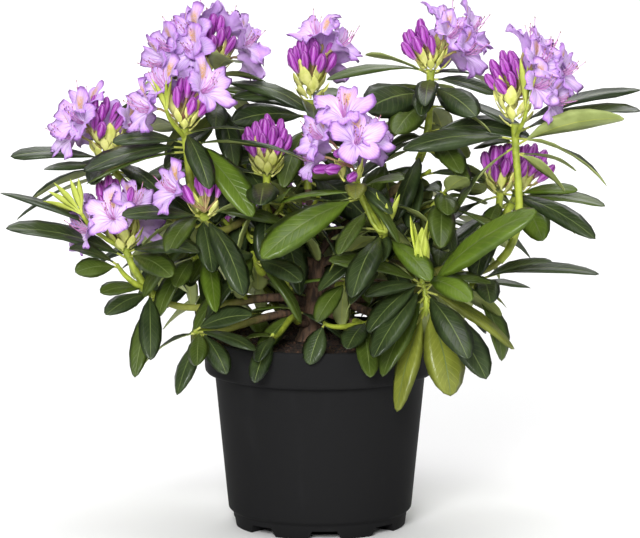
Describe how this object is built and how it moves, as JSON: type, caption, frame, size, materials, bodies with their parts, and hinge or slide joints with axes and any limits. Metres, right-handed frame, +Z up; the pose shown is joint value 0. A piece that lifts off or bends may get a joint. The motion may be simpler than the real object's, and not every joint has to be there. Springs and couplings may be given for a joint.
{
  "type": "potted rhododendron",
  "caption": "Evergreen rhododendron shrub in bloom, lavender flower trusses over whorls of leathery leaves, in a round black nursery pot filled with peat.",
  "frame": {"origin": "middle of the pot's flat underside", "axes": "+Z up the pot's axis, -Y towards the side that the picture shows, +X to its right"},
  "size_m": [0.6288, 0.4093, 0.516],
  "materials": {
    "black_plastic": "satin",
    "peat": "rough",
    "bark": "rough",
    "foliage": "satin"
  },
  "bodies": {
    "root": {"bough_back_left": "bark", "bough_back_low_left": "bark", "bough_back_low_mid": "bark", "bough_back_low_right": "bark", "bough_back_mid": "bark", "bough_back_right": "bark", "bough_centre": "bark", "bough_centre_left": "bark", "bough_crown_left": "bark", "bough_crown_mid": "bark", "bough_crown_right": "bark", "bough_inner_left": "bark", "bough_inner_right": "bark", "bough_left_arm": "bark", "bough_left_back": "bark", "bough_left_low": "bark", "bough_left_upper": "bark", "bough_low_centre": "bark", "bough_low_left": "bark", "bough_low_right": "bark", "bough_mid_right": "bark", "bough_right_arm": "bark", "bough_right_back": "bark", "bough_right_front": "bark", "bough_right_low": "bark", "bough_right_under": "bark", "foliage_back_left": "foliage", "foliage_back_low_left": "foliage", "foliage_back_low_mid": "foliage", "foliage_back_low_right": "foliage", "foliage_back_mid": "foliage", "foliage_back_right": "foliage", "foliage_centre": "foliage", "foliage_centre_left": "foliage", "foliage_crown_left": "foliage", "foliage_crown_mid": "foliage", "foliage_crown_right": "foliage", "foliage_inner_left": "foliage", "foliage_inner_right": "foliage", "foliage_left_arm": "foliage", "foliage_left_back": "foliage", "foliage_left_low": "foliage", "foliage_left_upper": "foliage", "foliage_low_centre": "foliage", "foliage_low_left": "foliage", "foliage_low_right": "foliage", "foliage_mid_right": "foliage", "foliage_right_arm": "foliage", "foliage_right_back": "foliage", "foliage_right_front": "foliage", "foliage_right_low": "foliage", "foliage_right_under": "foliage", "peat": "peat", "pot": "black_plastic", "trunk": "bark"}
  },
  "joints": []
}
